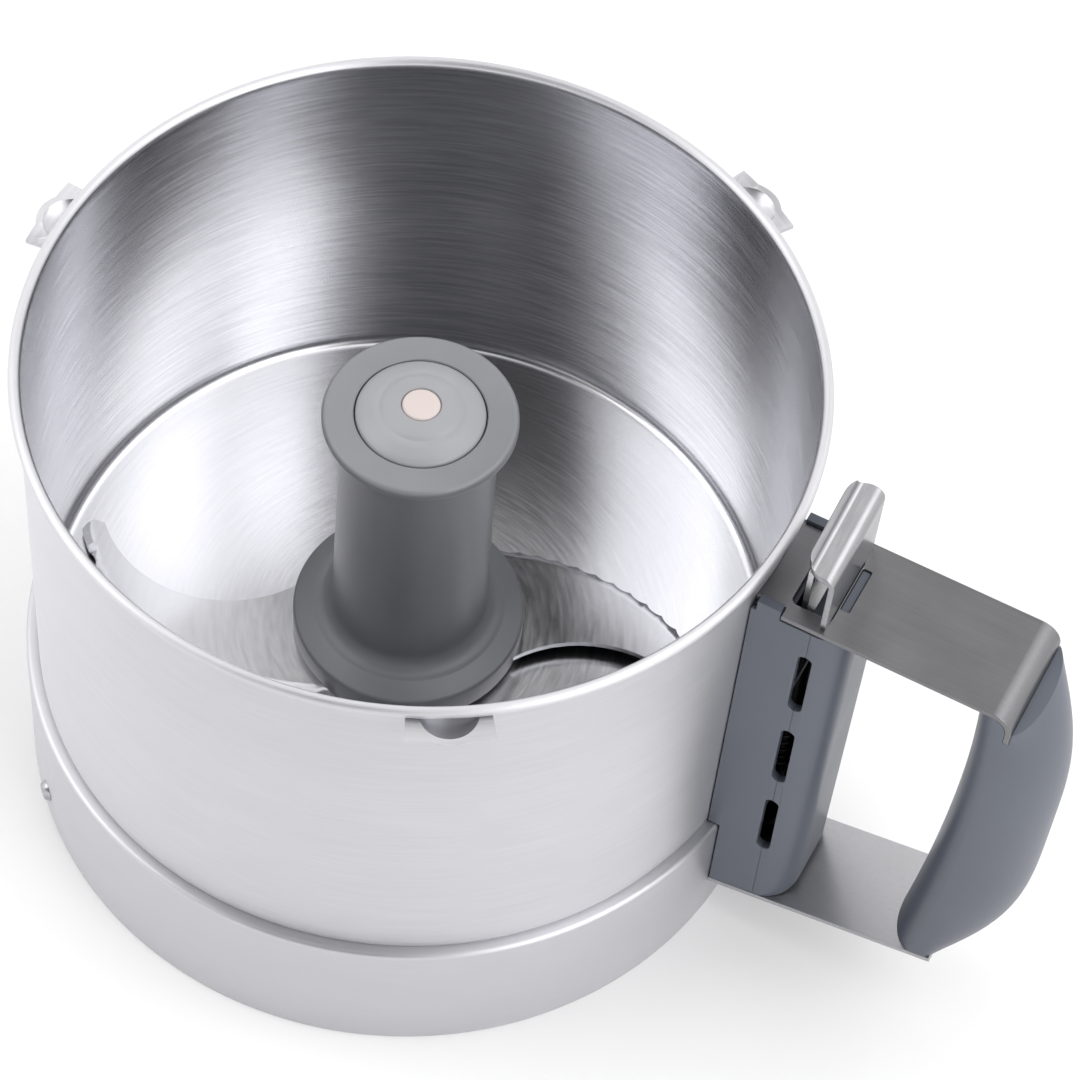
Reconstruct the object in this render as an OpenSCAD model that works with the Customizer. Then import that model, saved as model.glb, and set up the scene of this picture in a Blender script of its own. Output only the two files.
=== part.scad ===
// Stainless cutter bowl of a table-top food processor, with its handle and S-blade.
// Origin on the bowl's axis at the plane it stands on, +Z up, +X towards the handle.

/* [Bowl] */
// Outer radius of the bowl wall
bowl_r = 95; // [94.6:0.1:95.4]
// Height of the rim above the standing plane
rim_z = 153; // [151:0.5:155]
// Outer radius of the rolled rim
rim_r = 97; // [96.8:0.1:97.2]
// Sheet thickness of the bowl
sheet_t = 1; // [0.8:0.1:1.1]
// Height of the bowl floor's upper face
floor_z = 40.5; // [40.4:0.1:40.6]
// Inside radius of the corner between floor and wall
corner_r = 2.8; // [2.6:0.1:3.2]
// Outer radius of the base skirt
skirt_r = 98.2; // [98:0.1:98.3]
// Height of the ledge where the skirt meets the wall
ledge_z = 42; // [41.8:0.1:42.2]

/* [Drive] */
// Outer radius of the drive tube that stands in the bowl
tube_r = 12; // [11.9:0.1:12.1]
// Height of the top of the drive tube
tube_top_z = 98; // [90:1:99]
// Radius of the bore that takes the motor's shaft
shaft_r = 7.1; // [6.5:0.1:7.5]
// Inside radius of the base ring that centres the bowl on its drive unit
socket_r = 86; // [84:0.5:88]

/* [Handle] */
// Width of the two steel straps
strap_w = 29.4; // [29:0.1:30]
// Thickness of the straps
strap_t = 1.5; // [1.4:0.1:1.8]
// Height of the upper strap's top face
strap_z = 141.6; // [141:0.1:142]
// Distance from the bowl's axis to the outer face of the upper strap's lip
lip_x = 160.4; // [160:0.1:161]
// Slope of the lower strap, rising away from the bowl
lower_slope = 11; // [10:0.5:11.5]
// Distance from the bowl's axis to the most outward point of the grip
grip_x = 174.2; // [173:0.2:175]
// Distance from the bowl's axis to the column's outer face
column_x = 118.8; // [118.4:0.1:119]

/* [Blade] */
// Radius that the blade tips sweep
sweep_r = 89.6; // [88.8:0.1:90]
// Thickness of the blades
blade_t = 1.6; // [1.4:0.1:1.8]
// Radius of the disc at the foot of the hub
foot_r = 29.8; // [29:0.1:30]
// Radius of the flange at the top of the hub
flange_r = 23.8; // [23.4:0.1:24]
// Height of the hub's top flange
hub_top_z = 133.2; // [132.5:0.1:133.8]

/* [Safety rod] */
// Distance from the bowl's axis to the rod's axis
rod_x = 105.1; // [105:0.1:105.2]
// How far the rod can be pressed
rod_travel = 6; // [4:0.5:6]

/* [Hidden] */

$fn = 96;
steel = [0.80, 0.80, 0.82];
plastic = [0.43, 0.47, 0.51];
hub_grey = [0.42, 0.42, 0.44];
eps = 0.01;
big = 400;

// Rim and floor
bead_r = 1.4;
wall_in_r = bowl_r - sheet_t;
corner_x = wall_in_r - corner_r;
corner_z = floor_z + corner_r;

// Drive tube, with the flange under the floor that holds it
tube_t = 1.2;
tube_low_z = floor_z - 2.2;
tube_flange_w = 9.2;
tube_edge_r = 0.6;

// Skirt and base ring
skirt_t = 1.2;
ledge_round = 1.2;
ledge_t = 1;
ring_high_z = 20;
lock_top_z = 12;
lock_w = 14;
lock_h = 6;
lock_depth = 3;
skirt_screw_z = 10;
skirt_screw_angles = [-131.5, 131.5];

// Lid lugs
lug_angles = [-58, 62, 182];
lug_half_angle = 5.8;
lug_r = 102;
lug_z = 148.9;
lug_t = 1.2;
dimple_x = 94.8;
dimple_sphere_r = 12;
dimple_drop = 2.4;

// Straps, hook and column
bend_r = 5.6;
lip_low_z = 132.6;
tab_t = 2;
tab_w = 23;
tab_h = 16;
tab_gap = 0.2;
lower_x0 = 100;
lower_z0 = 16.4;
lower_end_x = 158;
hook_t = 1.5;
hook_x = 112.3;
hook_w = 26.8;
hook_top_z = 162.6;
hook_tilt = 8.5;
hook_tip_x = 104;
hook_bend_r = 3;
hook_corner_r = 5;
hook_stem_y = [-9, 8];
hook_stem_low_z = 126;
rod_slot = [[102, -10], [hook_x, 8.7]];
tooth_slot = [[112.7, -6], [115, 7]];
lip_notch = [5.2, 2.8];
split_x = 109.5;
column_w = 29;
column_wall = 2.3;
column_top_z = 139.2;
column_corner_r = 8.5;
column_foot_r = 4.5;
column_screw_x = 112.5;
column_boss_r = 3;
column_boss_h = 13;
column_screw_len = 10;
grip_screw_len = 18;
grip_screw_x = 152;
strap_screw_r = 1.6;
strap_hole_r = 2.1;
guide_zs = [58, 112];
guide_t = 3;
slot_zs = [53, 85.5, 118];
slot_len = 23;
slot_w = 3.6;
fit_gap = 0.3;

// Grip: where its finger side stands, and the height of the flat behind the lip
palm_x = 150.4;
grip_shelf_z = 136;
grip_inner_depth = 8;

// Safety rod
rod_r = 2.45;
rod_hole_r = 2.5;
rod_low_z = 34;
magnet_r = 3.6;
magnet_h = 6;
tongue_y = [-9, 6];
tongue_t = 1.5;
tongue_low_z = 122;
tongue_top_z = 154.2;
clip_z = 84;
spring_wire_r = 0.4;
spring_mid_r = 3.5;
spring_turns = 7;
spring_low_z = guide_zs[0] + guide_t;

// Hub, bearing and bush
foot_low_z = 42.2;
foot_edge_z = 50.5;
shoulder_r = 24.5;
shoulder_z = 52.5;
neck_r = 19.9;
neck_top_r = 19.2;
neck_fillet = 4.5;
flange_t = 3.4;
flange_round = 1.4;
hub_bore_r = 15;
sleeve_r = 14.95;
sleeve_bore_r = 12.08;
sleeve_top_z = 62;
thrust_low_z = 40.6;
thrust_r = 18;
hub_upper_bore_r = 13.2;
bush_r = 11;
bush_low_z = 102;
bush_top_z = 126;
shaft_bore_top_z = 122;
cap_r = 16;
cap_low_z = 129;
cap_dome_r = 34;
cap_crown_z = hub_top_z + 4;
plug_r = 4.7;
upper_blade_z = 43.7;
lower_blade_z = 42.3;
lower_blade_turn = 183.5;

// One blade's outline: between a large leading circle and a smaller trailing circle
lead_centre = [37.25, -28.8];
lead_r = 65.7;
trail_centre = [59, -14.4];
trail_r = 33.7;
tip_low_y = 8.4;
tip_r = 3;
bevel_w = 3.4;
tooth_count = 15;
tooth_first = 112;
tooth_last = 47;
tooth_r = 4.2;
tooth_bite = 0.9;

function lower_z(x) = lower_z0 + (x - lower_x0) * tan(lower_slope);

// A plate in the XZ plane, given thickness along Y
module along_y(width) {
    rotate([90, 0, 0]) linear_extrude(width, center = true) children();
}

// A box from its low corner to its high corner
module box(low, high) {
    translate(low) cube(high - low);
}

// A flat rectangle with four round corners
module round_rect(low, high, r) {
    translate([low[0] + r, low[1]]) square([high[0] - low[0] - 2 * r, high[1] - low[1]]);
    translate([low[0], low[1] + r]) square([high[0] - low[0], high[1] - low[1] - 2 * r]);
    for (x = [low[0] + r, high[0] - r], y = [low[1] + r, high[1] - r])
        translate([x, y]) circle(r);
}

// A quarter of a flat ring about the origin
module quarter_ring(outer, inner, turn) {
    rotate(turn) intersection() {
        difference() {
            circle(outer);
            circle(inner);
        }
        square(outer + 1);
    }
}

// A slice of a tube between two heights, inside a strip of the given width along +X
module wall_patch(inner, outer, low, high, width) {
    intersection() {
        translate([0, 0, low]) difference() {
            cylinder(r = outer, h = high - low);
            translate([0, 0, -1]) cylinder(r = inner, h = high - low + 2);
        }
        box([0, -width / 2, low - 1], [big, width / 2, high + 1]);
    }
}

// A pan-head screw along +Z, its head's top at the origin
module pan_screw(head_r, head_h, shank_r, length) {
    difference() {
        translate([0, 0, -head_h]) cylinder(r1 = head_r, r2 = head_r * 0.72, h = head_h);
        for (turn = [0, 90])
            rotate(turn) translate([-head_r * 0.45, -0.4, -head_h * 0.55])
                cube([head_r * 0.9, 0.8, head_h]);
    }
    translate([0, 0, -length]) cylinder(r = shank_r, h = length - head_h + eps);
}

module bowl_shell() {
    color(steel) rotate_extrude($fn = 180) {
        translate([wall_in_r, corner_z]) square([sheet_t, rim_z - bead_r - corner_z]);
        translate([rim_r - bead_r, rim_z - bead_r]) circle(bead_r);
        translate([corner_x, corner_z]) quarter_ring(corner_r + sheet_t, corner_r, -90);
        translate([tube_r, floor_z - sheet_t]) square([corner_x - tube_r, sheet_t]);
    }
}

module base_skirt() {
    ledge_in_r = corner_x + sqrt(pow(corner_r + sheet_t, 2) - pow(corner_z - ledge_z, 2)) + 0.02;
    color(steel) difference() {
        rotate_extrude($fn = 180) {
            translate([skirt_r - skirt_t, 0]) square([skirt_t, ledge_z - ledge_round]);
            translate([ledge_in_r, ledge_z - ledge_t])
                square([skirt_r - ledge_round - ledge_in_r, ledge_t]);
            translate([skirt_r - ledge_round, ledge_z - ledge_round]) circle(ledge_round);
        }
        for (turn = skirt_screw_angles)
            rotate(turn) translate([skirt_r - 4, 0, skirt_screw_z]) rotate([0, 90, 0])
                cylinder(r = 1.7, h = 8);
    }
}

module base_ring() {
    ring_r = skirt_r - skirt_t;
    color([0.25, 0.26, 0.28]) difference() {
        cylinder(r = ring_r, h = ring_high_z, $fn = 180);
        cylinder(r = socket_r, h = big, center = true, $fn = 180);
        for (turn = [60, 180, 300]) rotate(turn) {
            box([socket_r - 2, -lock_w / 2, -1], [socket_r + lock_depth, lock_w / 2, lock_top_z]);
            box([socket_r - 2, -lock_w / 2, lock_top_z - lock_h],
                [socket_r + lock_depth, lock_w * 1.5, lock_top_z]);
        }
        for (turn = skirt_screw_angles)
            rotate(turn) translate([ring_r - 8, 0, skirt_screw_z]) rotate([0, 90, 0])
                cylinder(r = 1.5, h = 12);
    }
}

module drive_tube() {
    color(steel) rotate_extrude() {
        translate([tube_r - tube_t, tube_low_z]) square([tube_t, tube_top_z - tube_edge_r - tube_low_z]);
        translate([tube_r - tube_edge_r, tube_top_z - tube_edge_r]) circle(tube_edge_r);
        translate([tube_r - tube_t, tube_low_z]) square([tube_flange_w, tube_t]);
    }
}

module lid_lug(turn) {
    color(steel) rotate(turn) difference() {
        union() {
            intersection() {
                translate([0, 0, lug_z]) difference() {
                    cylinder(r = lug_r, h = lug_t, $fn = 180);
                    translate([0, 0, -1]) cylinder(r = bowl_r, h = lug_t + 2, $fn = 180);
                }
                linear_extrude(big) polygon([[0, 0], [big, -big * tan(lug_half_angle)],
                    [big, big * tan(lug_half_angle)]]);
            }
            intersection() {
                translate([dimple_x, 0, lug_z + dimple_sphere_r - dimple_drop])
                    sphere(dimple_sphere_r);
                box([bowl_r, -20, lug_z - dimple_drop], [big, 20, lug_z + lug_t]);
            }
        }
        translate([dimple_x, 0, lug_z + lug_t + dimple_sphere_r - dimple_drop])
            sphere(dimple_sphere_r - 0.2);
        translate([0, 0, lug_z - 5]) cylinder(r = bowl_r, h = 12, $fn = 180);
    }
}

module skirt_screws() {
    color([0.5, 0.5, 0.52]) for (turn = skirt_screw_angles)
        rotate(turn) translate([skirt_r + 1.4, 0, skirt_screw_z]) rotate([0, 90, 0])
            pan_screw(2.9, 1.4, 1.45, 9);
}

// Side view of the upper strap: flat, a bend, and the lip that enters the grip
module upper_strap_side() {
    translate([bowl_r - 3, strap_z - strap_t]) square([lip_x - bend_r - bowl_r + 3, strap_t]);
    translate([lip_x - bend_r, strap_z - bend_r]) quarter_ring(bend_r, bend_r - strap_t, 0);
    translate([lip_x - strap_t, lip_low_z]) square([strap_t, strap_z - bend_r - lip_low_z]);
}

module upper_strap() {
    color(steel) {
        difference() {
            along_y(strap_w) upper_strap_side();
            cylinder(r = bowl_r, h = big, $fn = 180);
            translate([0, 0, strap_z - 5]) linear_extrude(10) {
                round_rect(rod_slot[0], rod_slot[1], 1.6);
                round_rect(tooth_slot[0], tooth_slot[1], 0.4);
            }
            for (side = [-1, 1]) translate([0, side * (strap_w / 2 - lip_notch[1] / 2), 0])
                box([0, -lip_notch[1] / 2, strap_z - 5],
                    [bowl_r + 1.5 + lip_notch[0], lip_notch[1] / 2, strap_z + 5]);
        }
        wall_patch(bowl_r, bowl_r + tab_t, strap_z - tab_h, strap_z - strap_t, tab_w);
    }
}

module lower_strap() {
    color(steel) {
        difference() {
            translate([lower_x0, 0, lower_z0]) rotate([0, -lower_slope, 0]) difference() {
                box([-6, -strap_w / 2, -strap_t],
                    [(lower_end_x - lower_x0) / cos(lower_slope), strap_w / 2, 0]);
                for (x = [column_screw_x, grip_screw_x])
                    translate([(x - lower_x0) / cos(lower_slope), 0, -5]) cylinder(r = strap_hole_r, h = 10);
            }
            cylinder(r = skirt_r, h = big, $fn = 180);
        }
        wall_patch(skirt_r, skirt_r + tab_t, lower_z0 - 1, lower_z0 + tab_h, tab_w);
    }
}

module latch_hook() {
    in_r = hook_bend_r - hook_t;
    curl_z = hook_top_z - hook_t + hook_bend_r;
    flat_x = hook_tip_x + hook_bend_r;
    color(steel) {
        intersection() {
            translate([0, 0, hook_top_z]) rotate([hook_tilt, 0, 0]) translate([0, 0, -hook_top_z])
                along_y(hook_w + 10) {
                translate([hook_x - hook_t, strap_z - 5])
                    square([hook_t, hook_top_z - hook_bend_r - strap_z + 5]);
                translate([hook_x - hook_bend_r, hook_top_z - hook_bend_r])
                    quarter_ring(hook_bend_r, in_r, 0);
                translate([flat_x, hook_top_z - hook_t])
                    square([hook_x - hook_bend_r - flat_x, hook_t]);
                translate([flat_x, curl_z]) quarter_ring(hook_bend_r, in_r, 180);
            }
            translate([0, 0, strap_z]) linear_extrude(40)
                round_rect([hook_tip_x, -hook_w / 2], [hook_x + 10, hook_w / 2], hook_corner_r);
        }
        box([hook_x - hook_t, hook_stem_y[0], hook_stem_low_z], [hook_x, hook_stem_y[1], strap_z + eps]);
    }
}

// Everything outside the bowl's wall and skirt, with a small gap
module clear_of_bowl() {
    cylinder(r = bowl_r + fit_gap, h = big, $fn = 180);
    cylinder(r = skirt_r + fit_gap, h = ledge_z + fit_gap, $fn = 180);
}

// The column's whole outer form, before it is split and hollowed
module column_form(inset) {
    half = column_w / 2 - inset;
    far_x = column_x - inset;
    low_z = lower_z(far_x - 3) + inset;
    r = column_corner_r - inset;
    foot = column_foot_r;
    intersection() {
        linear_extrude(column_top_z - inset) {
            translate([bowl_r - 3, -half]) square([far_x - r - bowl_r + 3, 2 * half]);
            translate([bowl_r - 3, -half + r]) square([far_x - bowl_r + 3, 2 * (half - r)]);
            for (side = [-1, 1]) translate([far_x - r, side * (half - r)]) circle(r);
        }
        along_y(column_w + 2) {
            translate([0, low_z + foot]) square([far_x, big]);
            square([far_x - foot, big]);
            translate([far_x - foot, low_z + foot]) circle(foot);
        }
        translate([lower_x0, 0, lower_z0 + inset]) rotate([0, -lower_slope, 0])
            translate([-big / 2, -big / 2, 0]) cube([big, big, big]);
    }
}

module column_slots() {
    for (z = slot_zs) translate([split_x, 0, z]) rotate([90, 0, 0])
        linear_extrude(column_w + 2, center = true)
            round_rect([-slot_w / 2, -slot_len / 2], [slot_w / 2, slot_len / 2], slot_w / 2 - 0.01);
}

// The openings in the column's top for the rod's tongue and the hook's stem
module column_top_openings() {
    box([rod_x - 2.2, tongue_y[0] - 0.8, 100], [rod_x + 2.2, tongue_y[1] + 0.8, strap_z + 5]);
    box([hook_x - hook_t - 0.2, hook_stem_y[0] - 0.2, 100], [hook_x, hook_stem_y[1] + 0.2, strap_z + 5]);
}

module column_inner() {
    lip_x0 = bowl_r + 0.5;
    lip_x1 = bowl_r + 1.3 + lip_notch[0];
    lip_in = strap_w / 2 - lip_notch[1] + 0.1;
    color(plastic) difference() {
        union() {
            intersection() {
                column_form(0);
                box([0, -big, 0], [split_x, big, big]);
            }
            for (side = [-1, 1]) scale([1, side, 1])
                box([lip_x0, lip_in, column_top_z - 1], [lip_x1, column_w / 2, strap_z + 1.2]);
        }
        difference() {
            intersection() {
                column_form(column_wall);
                box([bowl_r + 4.5, -big, 0], [split_x + 1, big, big]);
            }
            for (z = guide_zs) difference() {
                box([0, -big, z], [big, big, z + guide_t]);
                translate([rod_x, 0, 0]) cylinder(r = rod_hole_r, h = big);
            }
        }
        wall_patch(bowl_r - 1, bowl_r + tab_t + 0.1, strap_z - tab_h - tab_gap, strap_z + 3,
            tab_w + 2 * tab_gap);
        wall_patch(skirt_r - 1, skirt_r + tab_t + 0.1, 0, lower_z0 + tab_h + tab_gap,
            tab_w + 2 * tab_gap);
        clear_of_bowl();
        column_slots();
        column_top_openings();
    }
}

module column_outer() {
    color(plastic) difference() {
        union() {
            intersection() {
                column_form(0);
                box([split_x, -big, 0], [big, big, big]);
            }
            box([tooth_slot[0][0] + 0.1, tooth_slot[0][1] + 0.1, column_top_z - 1],
                [tooth_slot[1][0] - 0.1, tooth_slot[1][1] - 0.1, strap_z - 0.6]);
        }
        difference() {
            intersection() {
                column_form(column_wall);
                box([split_x - 1, -big, 0], [big, big, big]);
            }
            translate([column_screw_x, 0, lower_z(column_screw_x)]) rotate([0, -lower_slope, 0])
                cylinder(r = column_boss_r, h = column_boss_h);
        }
        translate([column_screw_x, 0, lower_z(column_screw_x)]) rotate([0, -lower_slope, 0])
            translate([0, 0, -1]) cylinder(r = strap_screw_r, h = column_boss_h);
        column_slots();
        column_top_openings();
    }
}

// A screw that enters square to the lower strap, from below, at a given distance out
module strap_screw(x, length) {
    color([0.5, 0.5, 0.52]) translate([x, 0, lower_z(x)]) rotate([0, -lower_slope, 0])
        translate([0, 0, -strap_t - 2]) mirror([0, 0, 1]) pan_screw(3.6, 2, strap_screw_r, length);
}

module column_screw() {
    strap_screw(column_screw_x, column_screw_len);
}

module grip_screw() {
    strap_screw(grip_screw_x, grip_screw_len);
}

// The grip's outline at height z: a half ellipse each side, joined by straight flanks
function grip_out(z) = z > 88
    ? grip_x - 9.8 * pow((z - 88) / 48, 3.4)
    : grip_x - 13.1 * pow((88 - z) / 60, 4.3);
function grip_in(z) = z > 105
    ? palm_x - 1.6 * pow((z - 105) / 34.6, 2)
    : palm_x - 4.6 * pow((105 - z) / 75, 1.8);
function flank_x(z) = 156 + 3.2 * pow(max(0, z - 70) / 66, 2);
function grip_ring(z, half_count) = [for (i = [0 : 2 * half_count - 1])
    let (turn = 180 * (i + 0.5) / half_count - 90,
        xc = min(flank_x(z), grip_out(z) - 3),
        inner = grip_inner_depth)
    turn < 90
        ? [xc + (grip_out(z) - xc) * cos(turn), strap_w / 2 * sin(turn), z]
        : [grip_in(z) + inner + inner * cos(turn), strap_w / 2 * sin(turn), z]];

module grip_form() {
    half_count = 18;
    ring_n = 2 * half_count;
    low = 22;
    high = strap_z - strap_t;
    steps = 28;
    points = [for (k = [0 : steps]) each grip_ring(low + (high - low) * k / steps, half_count)];
    sides = [for (k = [0 : steps - 1], i = [0 : ring_n - 1])
        let (j = (i + 1) % ring_n)
        each [[k * ring_n + i, (k + 1) * ring_n + i, (k + 1) * ring_n + j],
            [k * ring_n + i, (k + 1) * ring_n + j, k * ring_n + j]]];
    base = [for (i = [0 : ring_n - 1]) i];
    top = [for (i = [ring_n - 1 : -1 : 0]) steps * ring_n + i];
    polyhedron(points, concat(sides, [base, top]), convexity = 4);
}

module handle_grip() {
    color(plastic) difference() {
        grip_form();
        box([lip_x, -big, grip_shelf_z], [big, big, big]);
        difference() {
            box([lip_x - bend_r, -big, strap_z - bend_r], [lip_x + 1, big, big]);
            translate([lip_x - bend_r, 0, strap_z - bend_r]) rotate([90, 0, 0])
                cylinder(r = bend_r - strap_t, h = 2 * strap_w, center = true);
        }
        box([lip_x - strap_t, -big, lip_low_z], [lip_x, big, big]);
        translate([lower_x0, 0, lower_z0]) rotate([0, -lower_slope, 0])
            translate([0, -big / 2, -big]) cube([big, big, big]);
        translate([grip_screw_x, 0, lower_z(grip_screw_x)]) rotate([0, -lower_slope, 0])
            translate([0, 0, -1]) cylinder(r = strap_screw_r, h = grip_screw_len - 2);
    }
}

module safety_rod() {
    color(steel) {
        translate([rod_x, 0, rod_low_z]) cylinder(r = rod_r, h = tongue_low_z + 3 - rod_low_z);
        box([rod_x - tongue_t / 2, tongue_y[0], tongue_low_z],
            [rod_x + tongue_t / 2, tongue_y[1], tongue_top_z]);
    }
}

module rod_clip() {
    color([0.35, 0.35, 0.37]) translate([rod_x, 0, clip_z]) difference() {
        cylinder(r = 4.4, h = 1);
        translate([0, 0, -1]) cylinder(r = rod_r, h = 3);
    }
}

module rod_magnet() {
    color([0.3, 0.3, 0.32]) translate([rod_x, 0, rod_low_z - magnet_h]) cylinder(r = magnet_r, h = magnet_h);
}

module rod_spring() {
    sides = 8;
    per_turn = 16;
    last = spring_turns * per_turn;
    length = clip_z - spring_low_z - 2 * spring_wire_r - 0.1;
    points = [for (k = [0 : last])
        let (turn = 360 * k / per_turn, z = spring_low_z + spring_wire_r + length * k / last)
        for (i = [0 : sides - 1])
            let (a = 360 * i / sides, r = spring_mid_r + spring_wire_r * cos(a))
            [rod_x + r * cos(turn), r * sin(turn), z + spring_wire_r * sin(a)]];
    skin = [for (k = [0 : last - 1], i = [0 : sides - 1])
        let (j = (i + 1) % sides)
        each [[k * sides + i, (k + 1) * sides + i, (k + 1) * sides + j],
            [k * sides + i, (k + 1) * sides + j, k * sides + j]]];
    start = [for (i = [0 : sides - 1]) i];
    finish = [for (i = [sides - 1 : -1 : 0]) last * sides + i];
    color([0.6, 0.6, 0.62]) polyhedron(points, concat(skin, [start, finish]), convexity = 10);
}

module hub_bearing() {
    color([0.85, 0.85, 0.82]) difference() {
        union() {
            translate([0, 0, thrust_low_z]) cylinder(r = thrust_r, h = foot_low_z - thrust_low_z - 0.02);
            translate([0, 0, thrust_low_z]) cylinder(r = sleeve_r, h = sleeve_top_z - thrust_low_z);
        }
        cylinder(r = sleeve_bore_r, h = big);
    }
}

// One blade's flat outline, its root hidden in the hub's foot
module blade_outline() {
    difference() {
        intersection() {
            translate(lead_centre) circle(lead_r, $fn = 180);
            circle(sweep_r, $fn = 180);
            union() {
                translate([0, -4]) square([big, big]);
                intersection() {
                    circle(foot_r - 1.5);
                    translate([tube_r + 6, -20]) square([20, 60]);
                }
            }
        }
        translate(trail_centre) circle(trail_r, $fn = 120);
        circle(hub_bore_r + 2);
        translate([trail_centre[0], tip_low_y - big]) square([big, big]);
        difference() {
            translate([sweep_r - tip_r - 1, 0]) square([tip_r + 5, tip_low_y + tip_r]);
            translate([sweep_r - tip_r - 1, tip_low_y + tip_r]) circle(tip_r);
        }
    }
}

module blade_teeth() {
    step = (tooth_last - tooth_first) / (tooth_count - 1);
    for (i = [0 : tooth_count - 1]) rotate(tooth_first + step * i)
        translate([lead_r + tooth_r - tooth_bite, 0, -1]) cylinder(r = tooth_r, h = blade_t + 2);
}

module blade(z) {
    color(steel) translate([0, 0, z]) difference() {
        intersection() {
            linear_extrude(blade_t) blade_outline();
            translate(lead_centre) rotate_extrude($fn = 180)
                polygon([[0, 0], [lead_r, 0], [lead_r - bevel_w, blade_t], [0, blade_t]]);
        }
        translate(lead_centre) blade_teeth();
    }
}

// The pocket in the hub's foot that holds one blade's root
module blade_pocket(z) {
    translate([0, 0, z]) linear_extrude(blade_t) blade_outline();
}

module upper_blade() {
    blade(upper_blade_z);
}

module lower_blade() {
    rotate(lower_blade_turn) blade(lower_blade_z);
}

// Half section of the hub's outside
module hub_section() {
    flange_low_z = hub_top_z - flange_t;
    neck_low_z = shoulder_z + neck_fillet;
    polygon([[0, foot_low_z], [foot_r - 1, foot_low_z], [foot_r, foot_low_z + 1], [foot_r, foot_edge_z - 0.6],
        [foot_r - 0.6, foot_edge_z], [shoulder_r, shoulder_z], [neck_r, shoulder_z],
        [neck_r, neck_low_z], [neck_top_r, flange_low_z], [flange_r - flange_round, flange_low_z],
        [flange_r - flange_round, hub_top_z], [0, hub_top_z]]);
    difference() {
        translate([neck_r - 1, shoulder_z - 1]) square([neck_fillet + 1, neck_fillet + 1]);
        translate([neck_r + neck_fillet, neck_low_z]) circle(neck_fillet);
    }
    difference() {
        translate([neck_top_r - 1, flange_low_z - 2]) square([3, 2 + eps]);
        translate([neck_top_r + 2, flange_low_z - 2]) circle(2);
    }
    for (z = [flange_low_z + flange_round, hub_top_z - flange_round])
        translate([flange_r - flange_round, z]) circle(flange_round);
    translate([flange_r - flange_round - eps, flange_low_z + flange_round])
        square([flange_round + eps, flange_t - 2 * flange_round]);
}

module blade_hub() {
    color(hub_grey) difference() {
        rotate_extrude($fn = 120) hub_section();
        cylinder(r = hub_bore_r, h = sleeve_top_z + 0.5);
        cylinder(r = hub_upper_bore_r, h = tube_top_z + 1.5);
        cylinder(r = bush_r, h = bush_top_z);
        translate([0, 0, cap_low_z]) cylinder(r = cap_r, h = 10);
        blade_pocket(upper_blade_z);
        rotate(lower_blade_turn) blade_pocket(lower_blade_z);
    }
}

module hub_cap() {
    color([0.50, 0.50, 0.52]) difference() {
        intersection() {
            translate([0, 0, cap_low_z]) cylinder(r = cap_r - 0.15, h = 12);
            translate([0, 0, cap_crown_z - cap_dome_r]) sphere(cap_dome_r, $fn = 180);
        }
        cylinder(r = plug_r, h = big);
    }
}

module cap_plug() {
    color([0.82, 0.78, 0.77]) {
        translate([0, 0, cap_low_z]) cylinder(r = plug_r, h = cap_crown_z - 0.3 - cap_low_z);
        translate([0, 0, cap_crown_z - 0.3]) cylinder(r1 = plug_r - 0.4, r2 = plug_r - 1.6, h = 0.5);
    }
}

module drive_bush() {
    slot_w = 4;
    color([0.72, 0.72, 0.70]) difference() {
        translate([0, 0, bush_low_z]) cylinder(r = bush_r, h = bush_top_z - bush_low_z);
        translate([0, 0, bush_low_z - 1]) cylinder(r = shaft_r, h = shaft_bore_top_z - bush_low_z + 1);
        box([-bush_r - 1, -slot_w / 2, bush_low_z - 1], [bush_r + 1, slot_w / 2, bush_low_z + 5]);
    }
}

bowl_shell();
base_skirt();
base_ring();
drive_tube();
lid_lug(lug_angles[0]);  // lid_lug_1
lid_lug(lug_angles[1]);  // lid_lug_2
lid_lug(lug_angles[2]);  // lid_lug_3
skirt_screws();
upper_strap();
lower_strap();
latch_hook();
column_inner();
column_outer();
column_screw();
handle_grip();
grip_screw();
safety_rod();
rod_clip();
rod_magnet();
rod_spring();
hub_bearing();
blade_hub();
hub_cap();
cap_plug();
drive_bush();
upper_blade();
lower_blade();
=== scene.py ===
"""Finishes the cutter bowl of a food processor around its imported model."""

import math

import bmesh
import bpy
from bpy.props import FloatProperty, FloatVectorProperty, IntProperty, PointerProperty
from mathutils import Matrix, Vector


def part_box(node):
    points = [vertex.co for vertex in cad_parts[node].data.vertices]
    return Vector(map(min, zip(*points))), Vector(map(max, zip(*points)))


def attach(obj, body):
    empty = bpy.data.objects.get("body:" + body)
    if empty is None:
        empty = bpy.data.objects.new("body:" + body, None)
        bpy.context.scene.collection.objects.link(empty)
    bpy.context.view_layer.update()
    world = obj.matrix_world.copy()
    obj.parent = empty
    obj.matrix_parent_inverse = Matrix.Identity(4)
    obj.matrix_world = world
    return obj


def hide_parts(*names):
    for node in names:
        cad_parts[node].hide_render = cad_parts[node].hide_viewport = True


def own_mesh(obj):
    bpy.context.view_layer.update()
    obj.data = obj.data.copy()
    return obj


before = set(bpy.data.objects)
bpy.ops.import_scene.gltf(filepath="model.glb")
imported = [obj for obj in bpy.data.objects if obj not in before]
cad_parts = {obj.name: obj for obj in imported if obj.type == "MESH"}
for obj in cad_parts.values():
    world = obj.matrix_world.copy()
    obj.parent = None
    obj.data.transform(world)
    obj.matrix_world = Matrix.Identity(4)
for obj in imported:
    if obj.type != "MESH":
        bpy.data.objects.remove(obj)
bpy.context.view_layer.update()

bl_info = {
    "name": "Cutter Bowl",
    "version": (1, 0, 0),
    "blender": (4, 5, 0),
    "location": "View3D > Sidebar > Cutter Bowl",
    "description": "Builds the bowl, handle, hub and blades of a food processor",
    "category": "Object",
}

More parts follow.
